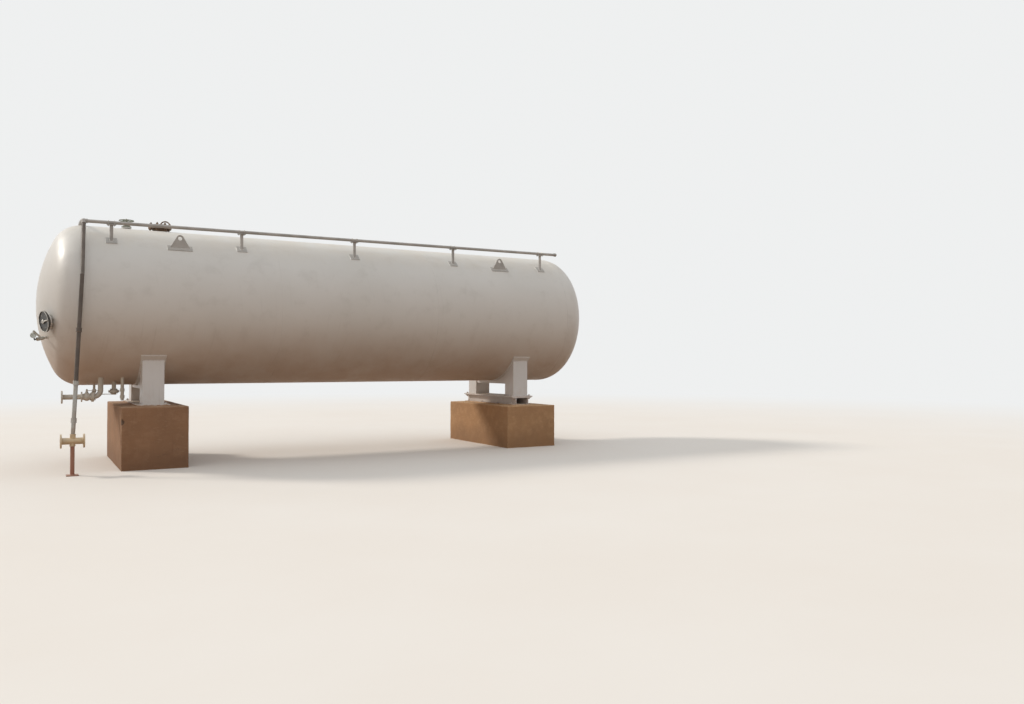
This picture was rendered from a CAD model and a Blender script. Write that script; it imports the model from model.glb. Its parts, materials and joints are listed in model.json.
"""Finishes and fine pieces of a horizontal pressure tank on two plastered pedestals."""

import json
from math import asin, ceil, cos, pi, radians, sin, sqrt

import bmesh
import bpy
from mathutils import Matrix, Vector, noise


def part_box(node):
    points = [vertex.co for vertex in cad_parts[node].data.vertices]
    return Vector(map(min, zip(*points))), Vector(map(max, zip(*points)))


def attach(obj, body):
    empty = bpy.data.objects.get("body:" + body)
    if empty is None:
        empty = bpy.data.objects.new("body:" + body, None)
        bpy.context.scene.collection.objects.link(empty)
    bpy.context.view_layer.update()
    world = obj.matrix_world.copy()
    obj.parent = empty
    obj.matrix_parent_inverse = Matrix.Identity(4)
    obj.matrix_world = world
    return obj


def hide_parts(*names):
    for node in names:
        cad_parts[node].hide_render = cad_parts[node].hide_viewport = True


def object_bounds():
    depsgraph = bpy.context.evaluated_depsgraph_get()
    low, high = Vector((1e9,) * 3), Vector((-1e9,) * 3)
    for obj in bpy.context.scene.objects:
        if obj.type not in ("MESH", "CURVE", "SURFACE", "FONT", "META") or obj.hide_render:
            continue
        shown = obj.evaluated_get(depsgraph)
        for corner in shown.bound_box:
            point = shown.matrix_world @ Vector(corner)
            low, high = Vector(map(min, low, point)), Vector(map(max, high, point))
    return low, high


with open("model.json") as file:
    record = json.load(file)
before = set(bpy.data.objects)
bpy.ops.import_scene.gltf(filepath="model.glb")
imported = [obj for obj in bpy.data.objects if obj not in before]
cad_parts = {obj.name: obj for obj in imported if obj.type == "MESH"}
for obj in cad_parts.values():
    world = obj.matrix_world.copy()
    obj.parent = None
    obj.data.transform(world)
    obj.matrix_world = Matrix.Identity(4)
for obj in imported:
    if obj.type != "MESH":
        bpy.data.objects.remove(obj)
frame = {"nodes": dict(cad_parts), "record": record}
cad_low, cad_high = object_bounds()

ALONG = Vector((1, 0, 0))
FRONT = Vector((0, -1, 0))
UP = Vector((0, 0, 1))

# The vessel's own sizes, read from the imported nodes
shell_low, shell_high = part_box("middle_shell_course")
SHELL_R = (shell_high.z - shell_low.z) / 2
AXIS_Z = (shell_high.z + shell_low.z) / 2
LEFT_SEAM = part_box("left_shell_course")[0].x
RIGHT_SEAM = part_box("right_shell_course")[1].x
SEAMS = [LEFT_SEAM, shell_low.x, shell_high.x, RIGHT_SEAM]
MIDDLE = Vector(((LEFT_SEAM + RIGHT_SEAM) / 2, 0, AXIS_Z))
HEAD_SKIRT = 0.050
LEFT_TANGENT = LEFT_SEAM - HEAD_SKIRT
# The sphere of the left head's crown
CROWN_R = 0.9 * 2 * SHELL_R
CROWN_CENTRE = Vector((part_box("left_head")[0].x + CROWN_R, 0, AXIS_Z))

# Spray headers and their posts
HEADER_R = 0.025
COLLAR_R = 0.03125
ELBOW_R = 0.035
# What its facets take off the elbow's width
ELBOW_FACETS = 0.0002
# The bands on a header: one this far past its elbow, and two this far before its right end
ELBOW_BAND = 0.044
END_BANDS = (0.037, 0.004)
CAP_T = 0.010
PAD_T = 0.010
POST_R = 0.024
POST_PAD = 0.150
POST_PAD_ANGLE = radians(6.5)
posts_low, posts_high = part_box("front_posts")
POST_X = [posts_low.x + POST_PAD / 2 + i * (posts_high.x - posts_low.x - POST_PAD) / 4 for i in range(5)]
header_low, header_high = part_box("back_header")
HEADER_SIDE = header_high.y - ELBOW_R + ELBOW_FACETS

# The riser and its tee. The rims are the distances of the riser's bands from the middle of the tee.
RISER_R = 0.027
COUPLING_R = 1.3 * RISER_R
MAIN_R = 0.0445
TEE_BRANCH = 0.095
TEE_FLANGE_OUT = 0.130
TEE_BAND_DOWN = 0.066
RISER_BEND = Vector((LEFT_TANGENT - 0.060, -1.270, AXIS_Z + 0.350))
RISER_FOOT_HALF = 0.075
RISER_FOOT_T = 0.012
UPPER_RIMS = (1.492, 1.543)
LOWER_RIMS = (0.2545, 0.3055, 0.7645, 0.8155)
TEE_RIMS = (0.090,)
RIM = 0.0045

# Lifting lugs
LUG_HALF_T = 0.0125
LUG_PAD = 0.350
LUG_PAD_ANGLE = radians(5)
LUG_ANGLE = pi / 4
lugs_low, lugs_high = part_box("front_lugs")
LUG_X = [lugs_low.x + LUG_PAD / 2, lugs_high.x - LUG_PAD / 2]
LUG_SIDE = SHELL_R * sin(LUG_ANGLE)

# Supports
WEAR_T = 0.012
BEAM_FLANGE = 0.016
# Where a corner of the left pedestal's plaster has broken away
LEFT_CHIP = Vector((-0.455, -1.170, 0.695))

# Necks of the crown's fittings
TOP_NECK_R = 0.1095
VAPOUR_NECK_R = 0.030
# Each fitting of the left head: its distance from the axis as a share of the shell's radius, its angle
# below the front, and its neck's radius
LEVEL_GAUGE = (0.69, radians(19.7), 0.057)
GAUGE_VALVE = (0.626, radians(41.8), 0.017)

# Each bottom nozzle: its x, its y and its pipe's radius
LIQUID_OUTLET = (LEFT_TANGENT + 0.230, -0.500, 0.0365)
DRAIN_COCK = (LEFT_TANGENT + 0.165, -0.200, 0.0170)
RETURN_NOZZLE = (LEFT_TANGENT + 0.420, -0.340, 0.0300)
PURGE_NOZZLE = (LEFT_TANGENT + 0.520, -0.500, 0.0240)
# The return nozzle's flange face under the belly
RETURN_FACE_DOWN = 0.074
# The outlet pipe: its bend, the stub to its flange pair, its valve's distance and its flanges' radius
OUTLET_BEND_R = 0.095
OUTLET_STUB = 0.010
OUTLET_VALVE_OUT = 0.180
OUTLET_FLANGE_R = 0.075

# Bolts of a flange pair: radius of their circle, how many, their diameter and the pair's thickness
TOP_COVER_BOLTS = (0.1475, 8, 0.020, 0.056)
VAPOUR_BOLTS = (0.055, 4, 0.012, 0.028)
RETURN_BOLTS = (0.055, 4, 0.014, 0.033)
OUTLET_BOLTS = (0.060, 4, 0.014, 0.032)

# Radii of weld beads. The seams of the shell lie sunk into it.
FINE_BEAD = 0.0035
BEAD = 0.0045
LEG_BEAD = 0.005
HEAVY_BEAD = 0.006
SEAM_SUNK = 0.0025

# The camera that was fitted to the photograph's outlines
CAMERA_AT = Vector((-1.63, -14.045, 1.525))
CAMERA_YAW = radians(30.497)
CAMERA_PITCH = radians(0.8)
CAMERA_LENS = 29.07

# Colours as linear red, green and blue
OFF_WHITE = (0.70, 0.69, 0.67)
COLD_WHITE = (0.72, 0.72, 0.73)
CHALK = (0.60, 0.59, 0.56)
RAIN_GREY = (0.36, 0.34, 0.30)
RED_SOIL = (0.42, 0.25, 0.15)
PALE_DUST = (0.62, 0.52, 0.40)
RUST = (0.20, 0.075, 0.03)
DARK_RUST = (0.07, 0.03, 0.018)
DARK_CEMENT = (0.075, 0.05, 0.035)
BACKDROP = (0.86, 0.87, 0.87)
FLOOR = (0.74, 0.69, 0.64)
# What lights the tank: pale sky above, haze along the horizon, and red soil under it
SKY = (0.93, 0.97, 1.0)
HAZE = (1.0, 0.90, 0.78)
SOIL_BOUNCE = (0.34, 0.22, 0.14)


# Shader values

class Value:
    """What a shader node gives. Values are added, subtracted and multiplied as plain numbers are."""

    def __init__(self, socket):
        self.socket = socket
        self.tree = socket.id_data

    def joined(self, operation, other=0.0):
        return node(self.tree, "Math", {0: self, 1: other}, operation=operation)

    def __add__(self, other):
        return self.joined("ADD", other)

    def __sub__(self, other):
        return self.joined("SUBTRACT", other)

    def __mul__(self, other):
        return self.joined("MULTIPLY", other)

    def feed(self, socket):
        self.tree.links.new(self.socket, socket)


def node(tree, kind, inputs=None, output=0, **settings):
    """Adds a shader node and gives one of its outputs. An input is plain, or the value of another node."""
    made = tree.nodes.new("ShaderNode" + kind)
    for name, value in settings.items():
        setattr(made, name, value)
    for name, value in (inputs or {}).items():
        if isinstance(value, Value):
            value.feed(made.inputs[name])
        else:
            made.inputs[name].default_value = value
    return Value(made.outputs[output])


def vector_maths(operation, first, second=(0, 0, 0), output=0):
    return node(first.tree, "VectorMath", {0: first, 1: second}, output, operation=operation)


def larger(first, second):
    return first.joined("MAXIMUM", second)


def axis(vector, name):
    return node(vector.tree, "SeparateXYZ", {"Vector": vector}, name)


def ramp(value, low, high, to_low=0.0, to_high=1.0):
    """A smooth step from to_low to to_high while value runs from low to high."""
    inputs = {"Value": value, "From Min": low, "From Max": high, "To Min": to_low, "To Max": to_high}
    return node(value.tree, "MapRange", inputs, "Result", interpolation_type="SMOOTHSTEP")


def mixed(under, over, mask, share=None):
    """Two colours, one over the other where the mask is 1. A share below 1 lets the lower one through."""
    mask = mask if share is None else mask * share
    under, over = (colour if isinstance(colour, Value) else (*colour, 1) for colour in (under, over))
    return node(mask.tree, "Mix", {0: mask, 6: under, 7: over}, 2, data_type="RGBA")


def stretched(place, scale):
    """A place, scaled along each axis."""
    return node(place.tree, "Mapping", {"Vector": place, "Scale": scale})


def clouds(place, scale, detail=4.0, roughness=0.55):
    inputs = {"Vector": place, "Scale": scale, "Detail": detail, "Roughness": roughness}
    return node(place.tree, "TexNoise", inputs, "Fac")


def surface_normal(place):
    return node(place.tree, "NewGeometry", output="Normal")


# Effects that several finishes share

def effect(name, *labels):
    """Draws a mask once, in a shader group with these inputs. Finishes place it with their own values."""

    def grouped(draw):
        tree = bpy.data.node_groups.new(name, "ShaderNodeTree")
        for label in labels:
            tree.interface.new_socket(label, in_out="INPUT", socket_type="NodeSocketFloat")
        tree.interface.new_socket("Mask", in_out="OUTPUT", socket_type="NodeSocketFloat")
        given = tree.nodes.new("NodeGroupInput").outputs
        place = node(tree, "TexCoord", output="Object")
        mask = draw(place, *(Value(given[label]) for label in labels))
        mask.feed(tree.nodes.new("NodeGroupOutput").inputs["Mask"])

        def placed(place, **inputs):
            named = {label.capitalize(): value for label, value in inputs.items()}
            return node(place.tree, "Group", named, node_tree=tree)

        return placed
    return grouped


@effect("cloudy patches", "Scale", "Level", "Soft")
def patches(place, scale, level, soft):
    """Cloudy patches: level is the share left bare, and soft is the width of their edges."""
    return ramp(clouds(place, scale, 6.0, 0.6), level - soft, level + soft)


@effect("worn edges", "Width", "Amount", "Breakup")
def worn_edges(place, width, amount, breakup):
    """Edges and corners, broken up by noise, where paint wears first."""
    rounded = node(place.tree, "Bevel", {"Radius": width}, samples=4)
    turn = vector_maths("DOT_PRODUCT", rounded, surface_normal(place), "Value")
    least = amount * -0.6 + 0.85
    bitten = ramp(clouds(place, breakup, 5.0, 0.65), least, least + 0.08)
    return ramp(turn, 0.995, 0.90) * bitten


@effect("settled dust", "Amount", "Breakup", "Slope")
def settled_dust(place, amount, breakup, slope):
    """Dust that lies on what faces up, thinner on slopes and broken up by noise."""
    cloud = ramp(clouds(place, breakup, 5.0, 0.6), 0.25, 0.75, 0.35, 1.0)
    return ramp(axis(surface_normal(place), "Z"), slope, 1.0) * cloud * amount


@effect("run marks", "Narrow", "Length", "Level")
def run_marks(place, narrow, length, level):
    """Thin marks where water has run down a side: long downwards and narrow along the vessel."""
    along = axis(place, "X") + axis(place, "Y") * 0.31 + clouds(place, 3.0, 2.0) * 0.05
    drawn_out = node(place.tree, "CombineXYZ", {"X": along * narrow, "Z": axis(place, "Z") * length})
    return ramp(clouds(drawn_out, 1.0, 5.0, 0.62), level, level + 0.22)


@effect("ground splash", "Foot", "Top", "Breakup")
def ground_splash(place, foot, top, breakup):
    """Red soil thrown up by rain: full at the foot, and gone at the given height."""
    ragged = (clouds(place, breakup, 6.0, 0.65) - 0.5) * (top - foot)
    return ramp(axis(place, "Z") + ragged, top, foot)


@effect("rust spots", "Scale", "Size", "Groups")
def rust_spots(place, scale, size, groups):
    """Small rust spots that sit in loose groups."""
    cells = node(place.tree, "TexVoronoi", {"Vector": place, "Scale": scale}, "Distance")
    ragged = cells + clouds(place, 90.0, 4.0, 0.7) * 0.25
    return ramp(ragged, size + 0.14, size) * ramp(clouds(place, groups, 3.0), 0.58, 0.68)


# Finishes

def material(name, constants=None):
    """A new material and its place. Constants are set on its shader's own sockets."""
    made = bpy.data.materials.new(name)
    made.use_nodes = True
    for label, value in (constants or {}).items():
        made.node_tree.nodes["Principled BSDF"].inputs[label].default_value = value
    return made, node(made.node_tree, "TexCoord", output="Object")


def finish_surface(made, colour, roughness, height=None, strength=0.3, distance=0.002, normal=None):
    """Gives a material its colour, its roughness and its relief."""
    fed = {"Base Color": colour, "Roughness": roughness}
    if height is not None:
        relief = {"Height": height, "Strength": strength, "Distance": distance}
        if normal is not None:
            relief["Normal"] = normal
        fed["Normal"] = node(made.node_tree, "Bump", relief)
    for label, value in fed.items():
        value.feed(made.node_tree.nodes["Principled BSDF"].inputs[label])
    return made


def crown_normal(place):
    """The surface's normal, but that of the crown's sphere near a head's middle, where faces are thin."""
    offset = vector_maths("SUBTRACT", place, MIDDLE)
    x, y, z = (axis(offset, name) for name in "XYZ")
    past_centre = x - x.joined("SIGN") * (MIDDLE.x - CROWN_CENTRE.x)
    out = vector_maths("NORMALIZE", node(place.tree, "CombineXYZ", {"X": past_centre, "Y": y, "Z": z}))
    off_axis = vector_maths("LENGTH", node(place.tree, "CombineXYZ", {"Y": y, "Z": z}), output="Value")
    inputs = {0: ramp(off_axis, 0.11, 0.075), 4: surface_normal(place), 5: out}
    return node(place.tree, "Mix", inputs, 1, data_type="VECTOR")


def vessel_paint(name):
    """Off-white gloss paint that has chalked, with rain marks, dust above and red soil below."""
    made, place = material(name)
    height = axis(place, "Z")
    tone = patches(place, scale=0.55, level=0.5, soft=0.22)
    colour = mixed(OFF_WHITE, CHALK, tone, 0.45)
    smudge = patches(place, scale=3.4, level=0.62, soft=0.12)
    colour = mixed(colour, RAIN_GREY, smudge, 0.16)
    runs = run_marks(place, narrow=17.0, length=0.9, level=0.56)
    fade = ramp(height, AXIS_Z - SHELL_R, AXIS_Z + 0.9 * SHELL_R, 0.85, 0.12)
    colour = mixed(colour, RAIN_GREY, runs * fade, 0.30)
    belly = ramp(height, AXIS_Z - 0.05 * SHELL_R, AXIS_Z - 0.98 * SHELL_R)
    film = patches(place, scale=1.7, level=0.42, soft=0.25)
    colour = mixed(colour, RED_SOIL, belly * ramp(film, 0.0, 1.0, 0.55, 1.0), 0.50)
    dust = settled_dust(place, amount=0.42, breakup=2.6, slope=0.45)
    colour = mixed(colour, PALE_DUST, dust)
    spots = rust_spots(place, scale=17.0, size=0.07, groups=1.1)
    colour = mixed(colour, RUST, spots, 0.7)
    rough = ramp(clouds(place, 5.0), 0.3, 0.7, 0.36, 0.50) + (dust + belly) * 0.22
    peel = clouds(place, 160.0, 3.0, 0.6)
    plate = clouds(stretched(place, (1.0, 0.7, 0.7)), 1.3, 1.0)
    relief = peel * 0.06 + plate * 1.6
    return finish_surface(made, colour, rough, relief, 0.35, 0.004, crown_normal(place))


def support_paint(name):
    """White gloss paint on plate, chipped to rust at the edges and splashed at the foot."""
    made, place = material(name)
    tone = patches(place, scale=1.9, level=0.5, soft=0.2)
    colour = mixed(COLD_WHITE, CHALK, tone, 0.35)
    runs = run_marks(place, narrow=34.0, length=1.6, level=0.56)
    colour = mixed(colour, RAIN_GREY, runs, 0.30)
    splash = ground_splash(place, foot=0.70, top=1.12, breakup=9.0)
    colour = mixed(colour, RED_SOIL, splash, 0.40)
    dust = settled_dust(place, amount=0.75, breakup=9.0, slope=0.5)
    colour = mixed(colour, PALE_DUST, dust)
    spots = rust_spots(place, scale=30.0, size=0.10, groups=2.2)
    edges = worn_edges(place, width=0.006, amount=0.55, breakup=34.0)
    chipped = larger(spots * 0.8, edges)
    colour = mixed(colour, RUST, chipped)
    rough = ramp(clouds(place, 8.0), 0.3, 0.7, 0.34, 0.5) + larger(chipped, dust) * 0.35
    relief = clouds(place, 190.0, 3.0) * 0.15 - chipped * 0.5
    return finish_surface(made, colour, rough, relief, 0.45, 0.0012)


def cement_plaster(name, tint, chip=None):
    """Hand-floated cement plaster, stained by red soil, damp at the foot and finely cracked."""
    made, place = material(name)

    def tinted(*colour):
        return tuple(a * b for a, b in zip(colour, tint))

    tone = patches(place, scale=2.1, level=0.5, soft=0.25)
    colour = mixed(tinted(0.46, 0.305, 0.19), tinted(0.38, 0.252, 0.158), tone)
    blotch = patches(place, scale=7.5, level=0.56, soft=0.10)
    colour = mixed(colour, tinted(0.55, 0.39, 0.26), blotch, 0.35)
    runs = run_marks(place, narrow=26.0, length=2.0, level=0.55)
    colour = mixed(colour, tinted(0.30, 0.20, 0.13), runs, 0.42)
    sweeps = clouds(stretched(place, (1.0, 1.0, 3.4)), 9.0, 6.0, 0.7)
    colour = mixed(colour, tinted(0.68, 0.52, 0.36), ramp(sweeps, 0.54, 0.74, 0.0, 0.30))
    damp = ground_splash(place, foot=0.06, top=0.42, breakup=3.0)
    colour = mixed(colour, tinted(0.24, 0.15, 0.095), damp, 0.55)
    cells = {"Vector": place, "Scale": 2.3}
    cells = node(place.tree, "TexVoronoi", cells, "Distance", feature="DISTANCE_TO_EDGE")
    bent = cells + (clouds(place, 6.0, 7.0, 0.7) - 0.5) * 0.34
    crack = ramp(bent.joined("ABSOLUTE"), 0.004, 0.0)
    crack = crack * patches(place, scale=1.3, level=0.55, soft=0.05)
    colour = mixed(colour, (0.12, 0.08, 0.055), crack, 0.6)
    dust = settled_dust(place, amount=0.8, breakup=5.0, slope=0.4)
    colour = mixed(colour, tinted(0.58, 0.44, 0.30), dust)
    edges = worn_edges(place, width=0.018, amount=0.75, breakup=14.0)
    colour = mixed(colour, tinted(0.62, 0.50, 0.37), edges, 0.6)
    if chip:
        away = vector_maths("DISTANCE", place, chip, "Value") + clouds(place, 24.0, 5.0, 0.7) * 0.05
        colour = mixed(colour, DARK_CEMENT, ramp(away, 0.080, 0.060, 0.0, 0.85))
    grains = clouds(place, 210.0, 4.0, 0.7)
    colour = mixed(colour, (0.22, 0.15, 0.10), ramp(grains, 0.60, 0.72, 0.0, 0.25))
    pits = ramp(clouds(place, 60.0, 3.0), 0.36, 0.30)
    relief = sweeps + grains * 0.25 - (pits + crack) * 0.6
    return finish_surface(made, colour, ramp(tone, 0.0, 1.0, 0.94, 0.86), relief, 0.7, 0.006)


def galvanised_pipe(name):
    """Dull galvanised steel with zinc flowers, white bloom and rust where it is cut or scratched."""
    made, place = material(name, {"Metallic": 0.55})
    flowers = node(place.tree, "TexVoronoi", {"Vector": place, "Scale": 60.0}, "Color")
    flowers = node(place.tree, "SeparateColor", {"Color": flowers})
    colour = mixed((0.33, 0.325, 0.305), (0.42, 0.415, 0.39), flowers)
    bloom = patches(place, scale=6.0, level=0.52, soft=0.14)
    colour = mixed(colour, (0.54, 0.53, 0.50), bloom, 0.5)
    stain = patches(place, scale=2.6, level=0.60, soft=0.06)
    colour = mixed(colour, (0.30, 0.20, 0.13), stain, 0.45)
    edges = worn_edges(place, width=0.004, amount=0.6, breakup=50.0)
    rusty = larger(edges, rust_spots(place, scale=40.0, size=0.12, groups=3.2))
    colour = mixed(colour, RUST, rusty, 0.75)
    dust = settled_dust(place, amount=0.5, breakup=12.0, slope=0.35)
    colour = mixed(colour, PALE_DUST, dust)
    rough = ramp(bloom + dust, 0.0, 1.4, 0.42, 0.8)
    relief = clouds(place, 140.0, 3.0) + rusty * 0.6
    return finish_surface(made, colour, rough, relief, 0.25, 0.0008)


def weathered_paint(name, fresh, faded, worn_to, chip, gloss, dust=0.4):
    """Paint on pipes and fittings that has faded in patches and chipped along its edges."""
    made, place = material(name)
    tone = patches(place, scale=4.5, level=0.5, soft=0.2)
    colour = mixed(fresh, faded, tone)
    runs = run_marks(place, narrow=60.0, length=3.0, level=0.57)
    colour = mixed(colour, tuple(0.5 * c for c in fresh), runs, 0.35)
    spots = rust_spots(place, scale=55.0, size=0.13, groups=4.5)
    edges = worn_edges(place, width=0.004, amount=chip, breakup=55.0)
    chipped = larger(spots * chip, edges)
    colour = mixed(colour, worn_to, chipped)
    film = settled_dust(place, amount=dust, breakup=14.0, slope=0.3)
    colour = mixed(colour, PALE_DUST, film)
    relief = clouds(place, 240.0, 3.0) * 0.3 - chipped * 0.6
    return finish_surface(made, colour, (film + chipped) * 0.35 + gloss, relief, 0.35, 0.0008)


def rusty_steel(name, base, light):
    """Bare steel under a rough bloom of rust."""
    made, place = material(name, {"Metallic": 0.25})
    tone = patches(place, scale=9.0, level=0.5, soft=0.18)
    colour = mixed(base, light, tone)
    scale = patches(place, scale=34.0, level=0.55, soft=0.06)
    colour = mixed(colour, DARK_RUST, scale, 0.6)
    colour = mixed(colour, PALE_DUST, settled_dust(place, amount=0.55, breakup=16.0, slope=0.3))
    relief = clouds(place, 150.0, 5.0, 0.7) + scale * 0.7
    return finish_surface(made, colour, ramp(tone, 0.0, 1.0, 0.70, 0.9), relief, 0.6, 0.0014)


def aged_coat(name, fresh, aged, smoothest, metallic=0.0):
    """A thin coat or plating that has dulled in small patches, for bolts, dials and hubs."""
    made, place = material(name, {"Metallic": metallic})
    tone = patches(place, scale=26.0, level=0.52, soft=0.12)
    colour = mixed(fresh, aged, tone)
    film = settled_dust(place, amount=0.4, breakup=30.0, slope=0.3)
    colour = mixed(colour, PALE_DUST, film)
    rough = ramp(tone + film, 0.0, 1.2, smoothest, smoothest + 0.3)
    return finish_surface(made, colour, rough, clouds(place, 260.0, 3.0), 0.2, 0.0005)


def dial_glass(name):
    """Clear glass with a faint dusty bloom."""
    made, place = material(name, {"Transmission Weight": 1.0, "IOR": 1.45})
    bloom = patches(place, scale=40.0, level=0.6, soft=0.12)
    colour = mixed((0.96, 0.97, 0.96), (0.80, 0.79, 0.75), bloom)
    return finish_surface(made, colour, ramp(bloom, 0.0, 1.0, 0.04, 0.22))


# Studio

def place_camera():
    camera = bpy.data.cameras.new("photo_view")
    camera.sensor_fit = "HORIZONTAL"
    camera.sensor_width = 36
    camera.lens = CAMERA_LENS
    holder = bpy.data.objects.new("photo_view", camera)
    level = cos(CAMERA_PITCH)
    ahead = Vector((sin(CAMERA_YAW) * level, cos(CAMERA_YAW) * level, sin(CAMERA_PITCH)))
    holder.rotation_mode = "QUATERNION"
    holder.rotation_quaternion = ahead.to_track_quat("-Z", "Y")
    holder.location = CAMERA_AT
    bpy.context.scene.collection.objects.link(holder)
    bpy.context.scene.camera = holder


def sun(name, towards, strength, angle, colour):
    """A soft distant lamp that shines along towards."""
    lamp = bpy.data.lights.new(name, "SUN")
    lamp.energy = strength
    lamp.angle = radians(angle)
    lamp.color = colour
    holder = bpy.data.objects.new(name, lamp)
    holder.rotation_mode = "QUATERNION"
    holder.rotation_quaternion = Vector(towards).to_track_quat("-Z", "Y")
    bpy.context.scene.collection.objects.link(holder)


def seen_directly(tree):
    """1 for what the camera, a reflection or glass sees, and 0 for light on a surface."""
    camera, glossy, glass = (node(tree, "LightPath", output=f"Is {ray} Ray")
                             for ray in ("Camera", "Glossy", "Transmission"))
    return larger(larger(camera, glossy), glass)


def light_the_studio():
    """A soft sky over warm haze, a key lamp from the left and behind, and a faint fill from the front."""
    world = bpy.data.worlds.new("studio")
    bpy.context.scene.world = world
    world.use_nodes = True
    tree = world.node_tree
    background = tree.nodes["Background"].inputs
    seen = seen_directly(tree)
    sky = ramp(axis(node(tree, "TexCoord", output="Generated"), "Z"), -0.04, 0.92)
    mixed(mixed(HAZE, SKY, sky), BACKDROP, seen).feed(background["Color"])
    larger(ramp(sky, 0.0, 1.0, 0.15, 0.99), seen).feed(background["Strength"])
    sun("key_from_left_and_behind", (0.66, -0.56, -0.58), 1.90, 10, (1.0, 0.94, 0.85))
    sun("fill_from_front", (0.35, 0.80, -0.40), 0.22, 70, (1.0, 0.97, 0.92))


def lay_floor():
    """A plain pale floor that fades into the backdrop well away from the tank."""
    made, place = material("studio_floor", {"Roughness": 0.9})
    tree = made.node_tree
    shader = tree.nodes["Principled BSDF"]
    seen = seen_directly(tree)
    tone = patches(place, scale=0.35, level=0.5, soft=0.3)
    mixed(SOIL_BOUNCE, mixed(FLOOR, BACKDROP, tone, 0.15), seen).feed(shader.inputs["Base Color"])
    glow = node(tree, "Emission", {"Color": (*BACKDROP, 1)})
    away = vector_maths("LENGTH", vector_maths("SUBTRACT", place, (MIDDLE.x, 0, 0)), output="Value")
    far = ramp(away, 9.0, 30.0) * seen
    blend = node(tree, "MixShader", {0: far, 1: Value(shader.outputs[0]), 2: glow})
    blend.feed(tree.nodes["Material Output"].inputs["Surface"])
    bm = bmesh.new()
    bmesh.ops.create_circle(bm, cap_ends=True, segments=64, radius=150)
    mesh = bpy.data.meshes.new("studio_floor")
    bm.to_mesh(mesh)
    bm.free()
    mesh.transform(Matrix.Translation((MIDDLE.x, 0, -0.0005)))
    mesh.materials.append(made)
    floor = bpy.data.objects.new("studio_floor", mesh)
    bpy.context.scene.collection.objects.link(floor)


# Each finish: its name, the function that draws it and the values that it takes
FINISHES = {name: draw(name, *values) for name, draw, *values in (
    ("vessel_paint", vessel_paint),
    ("support_paint", support_paint),
    ("cement_plaster", cement_plaster, (1.07, 0.95, 0.80)),
    ("stained_plaster", cement_plaster, (0.74, 0.63, 0.57), LEFT_CHIP),
    ("galvanised_pipe", galvanised_pipe),
    ("dark_pipe", weathered_paint, (0.085, 0.07, 0.06), (0.15, 0.12, 0.10), RUST, 0.6, 0.5),
    ("cream_pipe", weathered_paint, (0.66, 0.52, 0.33), (0.58, 0.46, 0.32), RUST, 0.4, 0.4),
    ("red_pipe", weathered_paint, (0.30, 0.11, 0.07), (0.38, 0.20, 0.14), DARK_RUST, 0.6, 0.55),
    ("rusty_fitting", rusty_steel, (0.20, 0.13, 0.09), (0.34, 0.25, 0.18)),
    ("valve_paint", weathered_paint, (0.17, 0.19, 0.14), (0.27, 0.28, 0.22), RUST, 0.5, 0.45),
    ("gauge_black", weathered_paint, (0.035, 0.035, 0.035), (0.06, 0.058, 0.052), CHALK, 0.25, 0.4, 0.12),
    ("valve_steel", weathered_paint, (0.55, 0.55, 0.51), (0.44, 0.43, 0.39), RUST, 0.55, 0.45),
    ("dull_pipe", weathered_paint, (0.36, 0.355, 0.345), (0.50, 0.49, 0.475), RUST, 0.4, 0.5, 0.22),
    ("lug_paint", weathered_paint, (0.47, 0.465, 0.45), (0.36, 0.35, 0.335), RUST, 0.5, 0.5, 0.25),
    ("white_fitting", weathered_paint, (0.66, 0.64, 0.58), (0.56, 0.53, 0.47), RUST, 0.35, 0.4),
    ("zinc_bolt", aged_coat, (0.50, 0.49, 0.46), (0.34, 0.27, 0.20), 0.38, 0.7),
    ("bright_hub", aged_coat, (0.66, 0.65, 0.62), (0.48, 0.46, 0.42), 0.28, 0.6),
    ("dial_print", aged_coat, (0.62, 0.61, 0.57), (0.36, 0.35, 0.32), 0.5),
    ("dial_white", aged_coat, (0.70, 0.69, 0.64), (0.58, 0.55, 0.47), 0.45),
    ("gauge_glass", dial_glass),
)}

# The slots of the finishes that aren't named after one
SLOTS = {finish: slot for slot, finishes in (
    ("cement_plaster", ("stained_plaster",)),
    ("galvanised_pipe", ("zinc_bolt", "dull_pipe")),
    ("valve_steel", ("bright_hub",)),
    ("gauge_black", ("dial_print", "dial_white", "gauge_glass")),
) for finish in finishes}

# Nodes with a finish of their own: duller pipes, whitened fittings under the belly and greyer lugs
OWN_FINISH = {name: finish for finish, names in (
    ("dull_pipe", ("front_header", "back_header", "crossover_pipe", "front_posts", "back_posts")),
    ("white_fitting", ("liquid_outlet", "outlet_valve", "drain_cock", "return_nozzle", "purge_nozzle")),
    ("lug_paint", ("front_lugs", "back_lugs")),
) for name in names}


def finish_cad_nodes():
    """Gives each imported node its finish: its slot's, or its own where it has one."""
    for part in frame["record"]["subparts"]:
        mesh = frame["nodes"][part["node"]].data
        mesh.materials.clear()
        mesh.materials.append(FINISHES[OWN_FINISH.get(part["node"], part["material_slot"])])


# Places on the tank

def foot_and_top(name, y=None):
    """The points of a node's foot and top over its middle, or at the given y."""
    low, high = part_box(name)
    y = (low.y + high.y) / 2 if y is None else y
    return (Vector(((low.x + high.x) / 2, y, z)) for z in (low.z, high.z))


def corners_at(low, high, z):
    """The four corners of a box at height z, in turn."""
    corners = (low.x, low.y), (high.x, low.y), (high.x, high.y), (low.x, high.y)
    return [Vector((*corner, z)) for corner in corners]


def header_z(x):
    """Height of a spray header's middle at x, along its slight fall to the left."""
    start, low, high = header_low.x + ELBOW_R, header_low.z + ELBOW_R, header_high.z - COLLAR_R
    return low + (high - low) * (x - start) / (header_high.x - start)


def on_shell(x, angle, lift=0.0):
    """A point on the shell, angle radians from the crown towards the back."""
    reach = SHELL_R + lift
    return Vector((x, reach * sin(angle), AXIS_Z + reach * cos(angle)))


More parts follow.
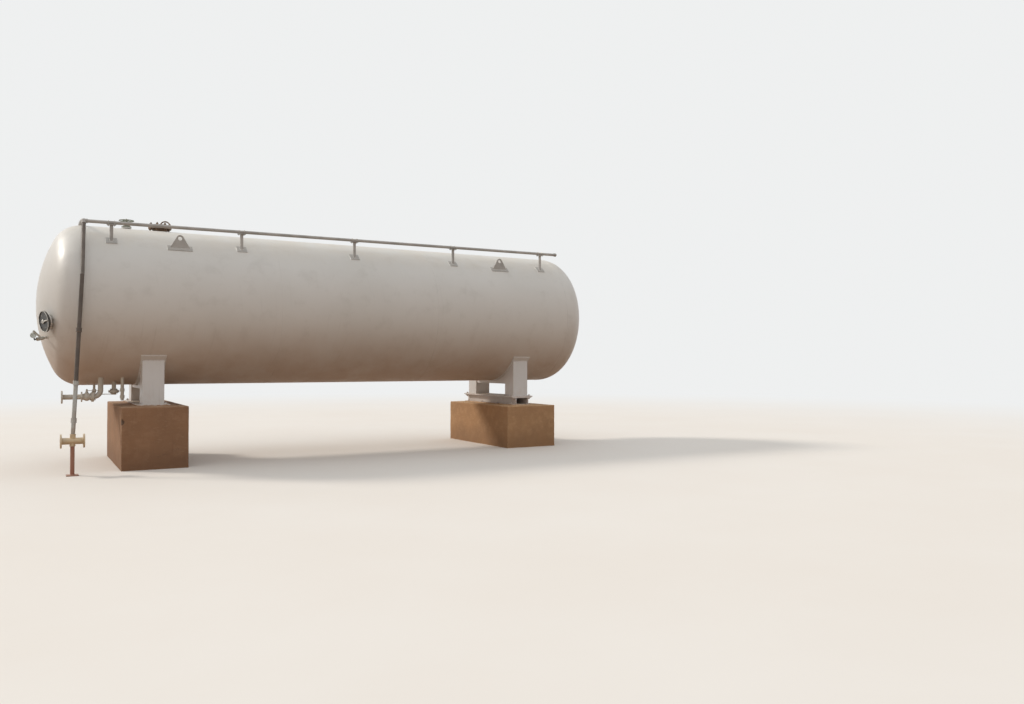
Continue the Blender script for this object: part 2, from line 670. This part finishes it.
def over_shell(x, y, lift=0.0, below=False):
    """A point on the shell over or under x and y."""
    rise = sqrt((SHELL_R + lift) ** 2 - y ** 2)
    return Vector((x, y, AXIS_Z - rise if below else AXIS_Z + rise))


def on_head(share, down, out=0.0):
    """A place on the left head and the head's normal there."""
    rho = share * SHELL_R
    side = Vector((-sqrt(CROWN_R ** 2 - rho ** 2), -rho * cos(down), -rho * sin(down)))
    normal = side.normalized()
    return CROWN_CENTRE + side + out * normal, normal


def facing(place, normal):
    """A frame at place whose z axis is the normal and whose y axis points as far up as it can."""
    right = (-normal).cross(UP)
    right = ALONG if right.length < 1e-6 else right.normalized()
    turn = Matrix((right, normal.cross(right), normal)).transposed()
    return Matrix.Translation(place) @ turn.to_4x4()


def on_circle(there, radius, turn, up=0.0):
    """A point on a circle round the z axis of a frame."""
    return there @ Vector((radius * cos(turn), radius * sin(turn), up))


def ring(middle, normal, radius, count=64):
    """Points on a circle."""
    there = facing(middle, normal)
    return [on_circle(there, radius, 2 * pi * i / count) for i in range(count)]


def round_neck(x, y, radius, lift=0.0, below=False, count=48):
    """Points where an upright pipe meets the shell."""
    turns = [2 * pi * i / count for i in range(count)]
    return [over_shell(x + radius * cos(t), y + radius * sin(t), lift, below) for t in turns]


def patch_edge(left, right, start, end, pitch=0.02):
    """Points round a rectangular patch on the shell, from one angle to another."""
    around = max(2, ceil(abs(end - start) * SHELL_R / pitch))
    along = max(2, ceil((right - left) / pitch))
    angles = [start + (end - start) * i / around for i in range(around)]
    places = [left + (right - left) * i / along for i in range(along)]
    edge = [on_shell(x, start) for x in places] + [on_shell(right, a) for a in angles]
    edge += [on_shell(right + left - x, end) for x in places]
    return edge + [on_shell(left, start + end - a) for a in angles]


def straight(start, end, pitch=0.02):
    """Points along a line."""
    count = max(2, ceil((end - start).length / pitch))
    return [start.lerp(end, i / count) for i in range(count + 1)]


# Building blocks

def add_bar(bm, start, end, radius, end_radius=None, sides=20):
    """A round bar or cone between two points."""
    along = end - start
    there = Matrix.Translation((start + end) / 2) @ along.to_track_quat("Z", "Y").to_matrix().to_4x4()
    far = radius if end_radius is None else end_radius
    bmesh.ops.create_cone(bm, cap_ends=True, segments=sides, radius1=radius, radius2=far, depth=along.length,
                          matrix=there)


def add_block(bm, there, size, bevel=0.0):
    """A box in a frame, centred there, with its edges rounded."""
    made = bmesh.ops.create_cube(bm, size=1, matrix=there @ Matrix.Diagonal((*size, 1)))
    if bevel:
        corners = set(made["verts"])
        edges = [edge for edge in bm.edges if edge.verts[0] in corners]
        bmesh.ops.bevel(bm, geom=edges, offset=bevel, offset_type="OFFSET", segments=2, profile=0.5,
                        affect="EDGES", clamp_overlap=True, material=-1)


def add_turned(bm, there, outline, steps=48):
    """A turned piece round a frame's z axis, from (radius, height) points that close or end on the axis."""
    corners = [bm.verts.new((radius, 0, height)) for radius, height in outline]
    edges = [bm.edges.new(pair) for pair in zip(corners, corners[1:])]
    made = bmesh.ops.spin(bm, geom=corners + edges, cent=(0, 0, 0), axis=UP, angle=2 * pi, steps=steps,
                          use_merge=True)
    found = {corner for corner in corners if corner.is_valid}
    for item in made["geom_last"]:
        found.update([item] if isinstance(item, bmesh.types.BMVert) else item.verts)
    whole = set(found)
    while found:
        found = {edge.other_vert(corner) for corner in found for edge in corner.link_edges} - whole
        whole |= found
    whole = [corner for corner in bm.verts if corner in whole]
    bmesh.ops.remove_doubles(bm, verts=whole, dist=1e-6)
    bmesh.ops.transform(bm, matrix=there, verts=[corner for corner in whole if corner.is_valid])


def add_bent_bar(bm, points, radius, closed=False, ripple=0.0, fine=2):
    """A round bar along points. A ripple gives it the uneven look of a hand-laid weld."""
    curve = bpy.data.curves.new("bent_bar", "CURVE")
    curve.dimensions = "3D"
    curve.bevel_depth = radius
    curve.bevel_resolution = fine
    curve.use_fill_caps = not closed
    spline = curve.splines.new("POLY")
    spline.points.add(len(points) - 1)
    spline.use_cyclic_u = closed
    for place, point in zip(points, spline.points):
        point.co = (*place, 1)
        point.radius = 1 + ripple * noise.noise(place * 60)
    add_curve(bm, curve)


def add_curve(bm, curve, there=None):
    """Turns a curve or a text into faces, and discards it."""
    holder = bpy.data.objects.new(curve.name, curve)
    mesh = bpy.data.meshes.new_from_object(holder)
    if there is not None:
        mesh.transform(there)
    bm.from_mesh(mesh)
    bpy.data.objects.remove(holder)
    bpy.data.curves.remove(curve)
    bpy.data.meshes.remove(mesh)


def add_bead(bm, points, radius=BEAD, closed=True):
    add_bent_bar(bm, points, radius, closed, ripple=0.5, fine=1)


def add_hexagon(bm, foot, up, across, height):
    """A hexagonal nut or bolt head that stands at foot, with its upper corners turned off."""
    corner = across / sqrt(3)
    add_bar(bm, foot, foot + up * height * 0.82, corner, sides=6)
    add_bar(bm, foot + up * height * 0.82, foot + up * height, corner, corner * 0.84, sides=6)


def add_nut(bm, place, normal, size, stud=0.6):
    """A washer, a nut and the end of its stud. Size is the stud's diameter."""
    up = normal.normalized()
    seat = place + up * size * 0.16
    add_bar(bm, place, seat, size * 1.08, sides=24)
    add_hexagon(bm, seat, up, size * 1.6, size * 0.85)
    if stud:
        tip = place + up * size * (1.0 + stud)
        add_bar(bm, place, tip, size * 0.48, sides=14)
        add_bar(bm, tip, tip + up * size * 0.1, size * 0.48, size * 0.36, sides=14)


def add_bolt_circle(bm, middle, normal, bolts):
    """Bolts through a flange pair: nuts with stud ends on one face, and heads on the other."""
    circle_r, count, size, grip = bolts
    there = facing(middle, normal)
    for i in range(count):
        place = on_circle(there, circle_r, 2 * pi * (i + 0.5) / count)
        add_nut(bm, place, normal, size)
        add_nut(bm, place - normal * grip, -normal, size, stud=0.0)


def finish_piece(name, bm, finish, smooth=True, replaces=()):
    """Turns a drawn piece into an object of the tank."""
    bmesh.ops.recalc_face_normals(bm, faces=bm.faces)
    mesh = bpy.data.meshes.new(name)
    bm.to_mesh(mesh)
    bm.free()
    if smooth:
        mesh.shade_smooth()
        mesh.set_sharp_from_angle(angle=radians(35))
    mesh.materials.append(FINISHES[finish])
    piece = bpy.data.objects.new(name, mesh)
    bpy.context.scene.collection.objects.link(piece)
    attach(piece, "root")
    SLOTS.get(finish, finish)
    if replaces:
        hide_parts(*replaces)


# Welds

def weld_the_courses():
    """Girth seams round the shell, and one seam along each course, staggered along the back."""
    bm = bmesh.new()
    for seam in SEAMS:
        add_bead(bm, ring(Vector((seam, 0, AXIS_Z)), ALONG, SHELL_R - SEAM_SUNK, 260))
    for left, right, angle in zip(SEAMS, SEAMS[1:], (62, 118, 70)):
        ends = (on_shell(x, radians(angle), -SEAM_SUNK) for x in (left, right))
        add_bead(bm, straight(*ends, 0.03), closed=False)
    # The beads stay within the tank's own width
    for corner in bm.verts:
        corner.co.y = min(corner.co.y, cad_high.y)
    finish_piece("shell_weld_seams", bm, "vessel_paint")


def weld_pad(bm, x, width, middle, angle):
    """A fillet weld round a pad on the shell. Its middle is an angle from the crown, towards the back."""
    ends = (middle + turn * angle for turn in (-0.5, 0.5))
    add_bead(bm, patch_edge(x - width / 2, x + width / 2, *ends))


def weld_the_small_plates():
    """Fillet welds round the lugs, the post feet and their pads."""
    bm = bmesh.new()
    post_angle = asin(HEADER_SIDE / SHELL_R)
    # Distance from the axis and half the length of the two welds along a lug's foot
    lug_welds = (LUG_SIDE - LUG_HALF_T - 0.001, 0.126), (LUG_SIDE + LUG_HALF_T + 0.001, 0.142)
    for side in (-1, 1):
        for x in POST_X:
            weld_pad(bm, x, POST_PAD, side * post_angle, side * POST_PAD_ANGLE)
            add_bead(bm, round_neck(x, side * HEADER_SIDE, POST_R + 0.001, PAD_T, count=24), FINE_BEAD)
        for x in LUG_X:
            weld_pad(bm, x, LUG_PAD, side * LUG_ANGLE, side * LUG_PAD_ANGLE)
            for y, half in lug_welds:
                ends = (over_shell(x + step * half, side * y, PAD_T) for step in (-1, 1))
                add_bead(bm, straight(*ends), LEG_BEAD, closed=False)
    finish_piece("lug_and_post_welds", bm, "vessel_paint")


def weld_the_supports():
    """Fillet welds round the wear plates, along the tops and feet of the legs, and along the cradles."""
    bm = bmesh.new()
    for name in ("left", "right"):
        low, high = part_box(f"{name}_wear_plate")
        reach = asin(high.y / (SHELL_R + WEAR_T))
        add_bead(bm, patch_edge(low.x, high.x, pi - reach, pi + reach, 0.03), HEAVY_BEAD)
        low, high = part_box(f"{name}_cradle")
        for x in (low.x, high.x):
            steps = [low.y + (high.y - low.y) * i / 40 for i in range(41)]
            add_bead(bm, [over_shell(x, y, WEAR_T, below=True) for y in steps], LEG_BEAD, closed=False)
        for leg in ("front", "back"):
            low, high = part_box(f"{name}_{leg}_leg")
            feet = corners_at(low, high, low.z + 0.001)
            for start, end in zip(feet, feet[1:] + feet[:1]):
                path = straight(start, end)
                add_bead(bm, path, LEG_BEAD, closed=False)
                top = [over_shell(place.x, place.y, WEAR_T, below=True) for place in path]
                add_bead(bm, top, HEAVY_BEAD, closed=False)
    finish_piece("support_welds", bm, "support_paint")


def weld_the_necks():
    """Fillet welds where the necks leave the shell and the left head."""
    bm = bmesh.new()
    past = 0.002
    for name, radius in (("top_nozzle", TOP_NECK_R), ("vapour_nozzle", VAPOUR_NECK_R)):
        foot, _ = foot_and_top(name, 0)
        add_bead(bm, round_neck(foot.x, 0, radius + past), HEAVY_BEAD)
    for x, y, radius in (LIQUID_OUTLET, DRAIN_COCK, RETURN_NOZZLE, PURGE_NOZZLE):
        add_bead(bm, round_neck(x, y, radius + past, below=True), LEG_BEAD)
    for share, down, radius in (LEVEL_GAUGE, GAUGE_VALVE):
        place, normal = on_head(share, down)
        sunk = CROWN_R - sqrt(CROWN_R ** 2 - radius ** 2)
        add_bead(bm, ring(place - normal * sunk, normal, radius + past), LEG_BEAD)
    finish_piece("neck_welds", bm, "vessel_paint")


# Bolting

def bolt_the_crown_fittings():
    """Studs through the top cover and the vapour valve's flanges."""
    for piece, name, bolts, finish in (
            ("top_cover_bolts", "top_nozzle", TOP_COVER_BOLTS, "rusty_fitting"),
            ("vapour_flange_bolts", "vapour_nozzle", VAPOUR_BOLTS, "zinc_bolt")):
        bm = bmesh.new()
        _, face = foot_and_top(name, 0)
        add_bolt_circle(bm, face + UP * bolts[-1] / 2, UP, bolts)
        finish_piece(piece, bm, finish)


def bolt_the_outlets():
    """Bolts through the flange pairs under the belly."""
    bm = bmesh.new()
    x, y, _ = RETURN_NOZZLE
    add_bolt_circle(bm, Vector((x, y, AXIS_Z - SHELL_R - RETURN_FACE_DOWN)), UP, RETURN_BOLTS)
    x, y, _ = LIQUID_OUTLET
    joint = Vector((x - OUTLET_BEND_R - OUTLET_STUB, y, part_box("liquid_outlet")[0].z + OUTLET_FLANGE_R))
    add_bolt_circle(bm, joint + ALONG * OUTLET_BOLTS[-1] / 2, ALONG, OUTLET_BOLTS)
    finish_piece("outlet_flange_bolts", bm, "zinc_bolt")


def clamp_the_headers():
    """Two U-bolts over the header at each post, with their nuts under the post's cap."""
    bm = bmesh.new()
    rod_r, spread, thread = 0.004, 0.040, 0.014
    reach = HEADER_R + rod_r
    nut = UP * (-HEADER_R - CAP_T - 0.0006)
    tail = nut - UP * thread
    turns = [pi * i / 16 for i in range(17)]
    for side in (-1, 1):
        for x in [post + step for post in POST_X for step in (-spread, spread)]:
            middle = Vector((x, side * HEADER_SIDE, header_z(x)))
            arch = [middle + reach * Vector((0, cos(turn), sin(turn))) for turn in turns]
            add_bent_bar(bm, [arch[0] + tail] + arch + [arch[-1] + tail], rod_r)
            for foot in (arch[0], arch[-1]):
                add_nut(bm, foot + nut, -UP, 0.008, stud=0.0)
    finish_piece("header_clamps", bm, "zinc_bolt")


def anchor_the_supports():
    """Anchor bolts at the base plates' corners, and through the lower lips of the sliding beam."""
    bm = bmesh.new()
    # How far the bolts stand in from the ends and the sides of a plate, and from the sides of the beam
    end_inset, side_inset, beam_inset = 0.036, 0.055, 0.030
    for name in ("left", "right"):
        low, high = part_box(f"{name}_base_plate")
        for x in (low.x + side_inset, high.x - side_inset):
            for y in (low.y + end_inset, high.y - end_inset):
                add_nut(bm, Vector((x, y, high.z)), UP, 0.020, stud=0.35)
                if name == "right":
                    add_nut(bm, Vector((x, y, low.z - BEAM_FLANGE)), -UP, 0.020, stud=0.2)
    low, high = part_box("slide_beam")
    for x in (low.x + beam_inset, high.x - beam_inset):
        for share in (0.05, 0.35, 0.65, 0.95):
            place = Vector((x, low.y + share * (high.y - low.y), low.z + BEAM_FLANGE))
            add_nut(bm, place, UP, 0.018, stud=0.4)
    finish_piece("anchor_bolts", bm, "support_paint")


# Pipework detail

def rim_the_riser_fittings():
    """The raised bands at the ends of the riser's screwed fittings, and the welds at the tee's flanges."""
    foot, _ = foot_and_top("main_tee")
    tee = foot + UP * TEE_BRANCH
    along = (RISER_BEND - tee).normalized()
    for name, places, finish in (("upper_riser_rims", UPPER_RIMS, "dark_pipe"),
                                 ("lower_riser_rims", LOWER_RIMS, "galvanised_pipe"),
                                 ("tee_rims", TEE_RIMS, "cream_pipe")):
        bm = bmesh.new()
        for up in places:
            add_bent_bar(bm, ring(tee + along * up, along, COUPLING_R, 40), RIM, closed=True)
        if finish == "cream_pipe":
            for step in (-TEE_FLANGE_OUT, TEE_FLANGE_OUT):
                add_bead(bm, ring(tee + ALONG * step, ALONG, MAIN_R + 0.001), LEG_BEAD)
            add_bent_bar(bm, ring(tee - UP * TEE_BAND_DOWN, UP, COUPLING_R, 40), RIM, closed=True)
        finish_piece(name, bm, finish)
    bm = bmesh.new()
    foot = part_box("riser_foot")[0] + Vector((RISER_FOOT_HALF, RISER_FOOT_HALF, RISER_FOOT_T))
    add_bead(bm, ring(foot, UP, RISER_R + 0.001), LEG_BEAD)
    finish_piece("riser_foot_weld", bm, "red_pipe")


def close_the_header_ends():
    """Bands on the headers' screwed collars, and square-headed plugs in their right ends."""
    bands = bmesh.new()
    plugs = bmesh.new()
    for side in (-1, 1):
        places = [header_low.x + ELBOW_R + ELBOW_BAND] + [header_high.x - inset for inset in END_BANDS]
        for x in places:
            middle = Vector((x, side * HEADER_SIDE, header_z(x)))
            add_bent_bar(bands, ring(middle, ALONG, COLLAR_R - 0.001, 40), FINE_BEAD, closed=True)
        end = Vector((header_high.x, side * HEADER_SIDE, header_z(header_high.x)))
        add_block(plugs, Matrix.Translation(end + ALONG * 0.006), (0.022, 0.020, 0.020), 0.002)
    finish_piece("header_bands", bands, "dull_pipe")
    finish_piece("header_plugs", plugs, "rusty_fitting")


def dress_the_outlet_valves():
    """Packing nuts and lever nuts of the outlet valve and the drain cock, and the purge nozzle's plug."""
    bm = bmesh.new()
    x, y, _ = LIQUID_OUTLET
    valve = Vector((x - OUTLET_VALVE_OUT, y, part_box("liquid_outlet")[0].z + OUTLET_FLANGE_R))
    add_hexagon(bm, valve + UP * 0.058, UP, 0.042, 0.014)
    add_nut(bm, Vector((valve.x, valve.y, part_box("outlet_valve")[1].z)), UP, 0.014, stud=0.3)
    foot, _ = foot_and_top("drain_cock", DRAIN_COCK[1])
    cock = foot + UP * 0.065
    add_hexagon(bm, cock + FRONT * 0.026, FRONT, 0.032, 0.012)
    add_nut(bm, cock + FRONT * 0.068, FRONT, 0.010, stud=0.3)
    foot, _ = foot_and_top("purge_nozzle")
    add_hexagon(bm, foot, -UP, 0.040, 0.014)
    finish_piece("outlet_valve_nuts", bm, "zinc_bolt")


def dress_the_vapour_valve():
    """Bonnet nuts, packing nut and wheel nut of the vapour valve."""
    bm = bmesh.new()
    foot, top = foot_and_top("vapour_valve", 0)
    bonnet = Matrix.Translation(foot + UP * 0.060)
    for turn in range(4):
        add_nut(bm, on_circle(bonnet, 0.029, pi * turn / 2), UP, 0.008, stud=0.3)
    add_hexagon(bm, bonnet.translation, UP, 0.034, 0.016)
    add_nut(bm, top, UP, 0.012, stud=0.3)
    finish_piece("vapour_valve_nuts", bm, "zinc_bolt")


# Gauges

def add_number(bm, words, there, height):
    """A plain number, thin and flat, centred in a frame."""
    text = bpy.data.curves.new("number", "FONT")
    text.body = words
    text.size = height
    text.align_x = "CENTER"
    text.align_y = "CENTER"
    text.extrude = 0.0003
    text.resolution_u = 2
    add_curve(bm, text, there)


def add_dial_marks(bm, there, radius, sweep, steps, numbers, height):
    """Tick marks round a dial from lower left to lower right, with a number at every so many."""
    for i in range(steps + 1):
        turn = pi / 2 + sweep / 2 - sweep * i / steps
        long = i % (steps // (len(numbers) - 1)) == 0
        length = radius * (0.13 if long else 0.07)
        mark = Matrix.Rotation(turn, 4, "Z") @ Matrix.Translation((radius - length / 2, 0, 0))
        add_block(bm, there @ mark, (length, radius * (0.022 if long else 0.012), 0.0006))
    for i, words in enumerate(numbers):
        turn = pi / 2 + sweep / 2 - sweep * i / (len(numbers) - 1)
        place = Vector((cos(turn), sin(turn), 0)) * radius * 0.73
        add_number(bm, words, there @ Matrix.Translation(place), height)


def add_pointer(bm, there, radius, turn, thick=0.05):
    """A tapered pointer, thick at its tail."""
    tip, tail = (on_circle(there, reach, turn) for reach in (radius, -radius * 0.22))
    add_bar(bm, tail, tip, radius * thick, radius * 0.012, sides=12)


def dress_the_level_gauge():
    """The level gauge's printed face, its bezel and screws, its pointer and its light hub."""
    place, normal = on_head(*LEVEL_GAUGE[:2], 0.040)
    # Heights over the neck, and the radii of what lies round the dial
    dial_up, rim_up, hub_up, cover_up = 0.038, 0.046, 0.054, 0.014
    marks_r, pointer_r, screws_r, bolts_r = 0.130, 0.122, 0.1453, 0.095

    def up_from_neck(up):
        return facing(place + normal * up, normal)

    bm = bmesh.new()
    numbers = ("0", "20", "40", "60", "80", "100")
    add_dial_marks(bm, up_from_neck(dial_up + 0.0004), marks_r, radians(320), 50, numbers, 0.020)
    finish_piece("level_gauge_marks", bm, "dial_print", smooth=False)
    bm = bmesh.new()
    add_pointer(bm, up_from_neck(dial_up + 0.007), pointer_r, radians(8), 0.14)
    hub = [(0, 0), (0.029, 0), (0.029, 0.004), (0.023, 0.010), (0.009, 0.012), (0.009, 0.020), (0, 0.020)]
    add_turned(bm, up_from_neck(hub_up), hub)
    finish_piece("level_gauge_pointer", bm, "bright_hub")
    bm = bmesh.new()
    bezel_at = up_from_neck(rim_up)
    bezel = [(0.1400, -0.002), (0.1490, -0.002), (0.1505, 0), (0.1490, 0.003), (0.1415, 0.003), (0.1400, 0)]
    add_turned(bm, bezel_at, bezel + bezel[:1], 96)
    finish_piece("level_gauge_bezel", bm, "bright_hub")
    bm = bmesh.new()
    for i in range(12):
        foot = on_circle(bezel_at, screws_r, 2 * pi * i / 12, 0.003)
        add_bar(bm, foot, foot + normal * 0.0015, 0.0035, 0.0025, sides=12)
    for i in range(8):
        foot = on_circle(up_from_neck(cover_up), bolts_r, 2 * pi * (i + 0.5) / 8)
        add_hexagon(bm, foot, normal, 0.024, 0.006)
        add_nut(bm, foot - normal * 0.032, -normal, 0.014, stud=0.3)
    finish_piece("level_gauge_screws", bm, "zinc_bolt")


def dress_the_gauge_valve():
    """Packing nut and lever nut on the gauge valve's spindle, and the nut where the gauge screws in."""
    bm = bmesh.new()
    place, normal = on_head(*GAUGE_VALVE[:2], 0.085)
    out = (-normal).cross(UP).normalized()
    add_hexagon(bm, place + out * 0.024, out, 0.032, 0.012)
    add_nut(bm, place + out * 0.048, out, 0.010, stud=0.3)
    add_hexagon(bm, place + normal * 0.050, normal, 0.030, 0.012)
    finish_piece("gauge_valve_nuts", bm, "zinc_bolt")


def dress_the_pressure_gauge():
    """The small gauge's white face, bezel, marks, pointer and glass. It faces the front."""
    valve_end, _ = on_head(*GAUGE_VALVE[:2], 0.163)
    there = facing(valve_end + Vector((-0.018, -0.018, 0.062)), FRONT)
    face_r, marks_r, pointer_r = 0.0345, 0.031, 0.026

    def raised(up):
        return there @ Matrix.Translation((0, 0, up))

    bm = bmesh.new()
    add_turned(bm, there, [(0, 0), (face_r, 0), (face_r, 0.0006), (0, 0.0006)])
    finish_piece("pressure_gauge_face", bm, "dial_white")
    bm = bmesh.new()
    bezel = [(0.034, 0), (0.0395, 0), (0.0399, 0.004), (0.0385, 0.007), (0.0355, 0.007), (0.034, 0.004)]
    add_turned(bm, there, bezel + bezel[:1])
    finish_piece("pressure_gauge_bezel", bm, "bright_hub")
    bm = bmesh.new()
    add_dial_marks(bm, raised(0.0008), marks_r, radians(270), 20, ("0", "5", "10", "15", "20"), 0.007)
    add_pointer(bm, raised(0.0022), pointer_r, radians(115))
    finish_piece("pressure_gauge_marks", bm, "gauge_black")
    bm = bmesh.new()
    add_turned(bm, there, [(0, 0.0045), (face_r, 0.0045), (face_r, 0.006), (0, 0.006)])
    finish_piece("pressure_gauge_glass", bm, "gauge_glass")


# Pedestals

def float_pedestal(name, plate_low, plate_high, chip):
    """A plastered pedestal with hand-floated faces and soft edges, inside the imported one's box.

    It stays flat under the plate that it carries, and a chip is where a corner has broken away.
    """
    low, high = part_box(f"{name}_pedestal")
    size = high - low
    round_r, cell = 0.014, 0.016
    # Depths of the float's long waves, of its short ones, of the broken edges and of the chip
    wave_deep, dimple_deep, edge_deep, chip_deep = 0.0032, 0.0016, 0.030, 0.024
    chip_wide, flat_round_plate, fade = 0.045, 0.02, 0.05
    core_low = low + Vector((round_r, round_r, -round_r))
    core_high = high - Vector((round_r, round_r, round_r))
    bm = bmesh.new()
    there = Matrix.Translation((low + high) / 2)
    bmesh.ops.create_cube(bm, size=1, matrix=there @ Matrix.Diagonal((*size, 1)))
    for way in range(3):
        cuts = max(1, round(size[way] / cell) - 1)
        edges = [edge for edge in bm.edges
                 if abs((edge.verts[0].co - edge.verts[1].co)[way]) > 0.9 * size[way]]
        bmesh.ops.subdivide_edges(bm, edges=edges, cuts=cuts, use_grid_fill=True)
    for corner in bm.verts:
        place = corner.co.copy()
        core = Vector(max(a, min(b, p)) for a, b, p in zip(core_low, core_high, place))
        out = (place - core).normalized()
        edge = 1 - max(abs(c) for c in out)
        depth = wave_deep * (1 + noise.noise(place * 1.7)) + dimple_deep * (1 + noise.noise(place * 9.0))
        depth += edge * edge_deep * max(0, noise.noise(place * 7.0 + Vector((3, 1, 2))) + 0.1)
        if chip:
            depth += chip_deep * max(0, 1 - (place - chip).length / chip_wide)
        if out.z > 0.9:
            past = max(max(a - p, p - b) for a, b, p in zip(plate_low.xy, plate_high.xy, place.xy))
            depth *= min(1, max(0, (past - flat_round_plate) / fade))
        corner.co = core + out * (round_r - depth)
        corner.co.z = max(corner.co.z, low.z) if place.z > low.z + 1e-6 else low.z
    return bm


def plaster_the_pedestals():
    """Both pedestals, each with a rough mortar fillet round what it carries."""
    for name, plate, finish, chip in (("left", "left_base_plate", "stained_plaster", LEFT_CHIP),
                                      ("right", "slide_beam", "cement_plaster", None)):
        plate_low, plate_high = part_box(plate)
        bm = float_pedestal(name, plate_low, plate_high, chip)
        finish_piece(f"{name}_plastered_pedestal", bm, finish, replaces=[f"{name}_pedestal"])
        bm = bmesh.new()
        corners = corners_at(plate_low, plate_high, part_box(f"{name}_pedestal")[1].z)
        points = []
        for start, end in zip(corners, corners[1:] + corners[:1]):
            points += straight(start, end, 0.025)[:-1]
        add_bent_bar(bm, points, 0.011, closed=True, ripple=0.9)
        finish_piece(f"{name}_mortar_fillet", bm, finish)


place_camera()
light_the_studio()
lay_floor()
finish_cad_nodes()
weld_the_courses()
weld_the_small_plates()
weld_the_supports()
weld_the_necks()
bolt_the_crown_fittings()
bolt_the_outlets()
clamp_the_headers()
anchor_the_supports()
rim_the_riser_fittings()
close_the_header_ends()
dress_the_outlet_valves()
dress_the_vapour_valve()
dress_the_level_gauge()
dress_the_gauge_valve()
dress_the_pressure_gauge()
plaster_the_pedestals()
bpy.context.scene.view_settings.view_transform = "Standard"
